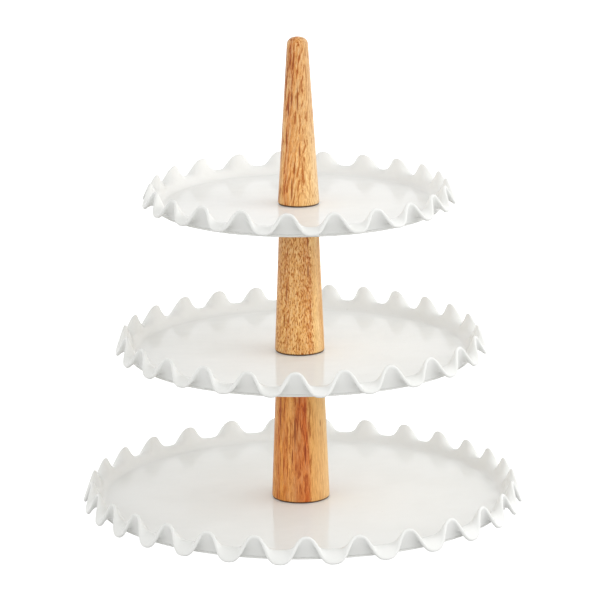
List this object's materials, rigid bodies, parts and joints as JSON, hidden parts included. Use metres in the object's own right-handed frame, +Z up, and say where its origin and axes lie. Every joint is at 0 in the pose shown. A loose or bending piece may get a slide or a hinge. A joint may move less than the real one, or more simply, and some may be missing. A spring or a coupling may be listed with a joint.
{
  "type": "tiered cake stand",
  "caption": "Tiered cake stand with ruffled white ceramic plates on a tapered wooden column that unscrews between tiers, with a domed wooden handle.",
  "frame": {"origin": "centre of the stand's footprint, on the surface it stands on (undersides of the foot pads)", "axes": "+Z up along the column; -Y is the front, the side the picture shows; +X to the right seen from the front"},
  "size_m": [0.3053, 0.3048, 0.3352],
  "materials": {
    "white_glaze": "glossy white glaze",
    "lower_post_wood": "satin oiled, orange-tan streaks",
    "middle_post_wood": "satin oiled, freckled pores",
    "handle_wood": "satin oiled, cathedral grain",
    "zinc_plated_steel": "satin zinc plate",
    "dark_rubber": "matte",
    "pad_silicone": "soft translucent matte"
  },
  "bodies": {
    "base": {"bottom_plate": "white_glaze", "foot_pad_1": "pad_silicone", "foot_pad_2": "pad_silicone", "foot_pad_3": "pad_silicone", "foot_pad_4": "pad_silicone"},
    "base_fastener": {"base_screw": "zinc_plated_steel", "base_washer": "zinc_plated_steel", "base_seal": "dark_rubber"},
    "lower_gasket": {"lower_post_gasket": "dark_rubber"},
    "lower_column": {"lower_post": "lower_post_wood", "lower_post_insert": "zinc_plated_steel", "lower_post_stud": "zinc_plated_steel", "lower_post_seat": "dark_rubber"},
    "middle_tier": {"middle_plate": "white_glaze"},
    "middle_gasket": {"middle_post_gasket": "dark_rubber"},
    "middle_column": {"middle_post": "middle_post_wood", "middle_post_insert": "zinc_plated_steel", "middle_post_stud": "zinc_plated_steel", "middle_post_seat": "dark_rubber"},
    "top_tier": {"top_plate": "white_glaze"},
    "handle_gasket_ring": {"handle_gasket": "dark_rubber"},
    "handle": {"top_handle": "handle_wood", "handle_insert": "zinc_plated_steel"}
  },
  "joints": [
    {"name": "column_turn", "type": "hinge", "parent": "base", "child": "base_fastener", "pos_m": [0, 0, 0.0104], "axis": [0, 0, 1], "continuous": true},
    {"name": "lower_post_lift", "type": "slide", "parent": "base_fastener", "child": "lower_gasket", "axis": [0, 0, 1], "range_m": [0, 0.01]},
    {"name": "lower_post_turn", "type": "hinge", "parent": "lower_gasket", "child": "lower_column", "pos_m": [0, 0, 0.0119], "axis": [0, 0, 1], "range_deg": [0, 3601]},
    {"name": "middle_plate_turn", "type": "hinge", "parent": "lower_column", "child": "middle_tier", "pos_m": [0, 0, 0.1153], "axis": [0, 0, 1], "continuous": true},
    {"name": "middle_post_lift", "type": "slide", "parent": "lower_column", "child": "middle_gasket", "axis": [0, 0, 1], "range_m": [0, 0.01]},
    {"name": "middle_post_turn", "type": "hinge", "parent": "middle_gasket", "child": "middle_column", "pos_m": [0, 0, 0.1168], "axis": [0, 0, 1], "range_deg": [0, 3601]},
    {"name": "top_plate_turn", "type": "hinge", "parent": "middle_column", "child": "top_tier", "pos_m": [0, 0, 0.219], "axis": [0, 0, 1], "continuous": true},
    {"name": "handle_lift", "type": "slide", "parent": "middle_column", "child": "handle_gasket_ring", "axis": [0, 0, 1], "range_m": [0, 0.01]},
    {"name": "handle_turn", "type": "hinge", "parent": "handle_gasket_ring", "child": "handle", "pos_m": [0, 0, 0.2205], "axis": [0, 0, 1], "range_deg": [0, 3601]}
  ],
  "couplings": [
    {"joint": "lower_post_turn", "follows": "lower_post_lift", "rad_per_m": 6283.2},
    {"joint": "middle_post_turn", "follows": "middle_post_lift", "rad_per_m": 6283.2},
    {"joint": "handle_turn", "follows": "handle_lift", "rad_per_m": 6283.2}
  ]
}
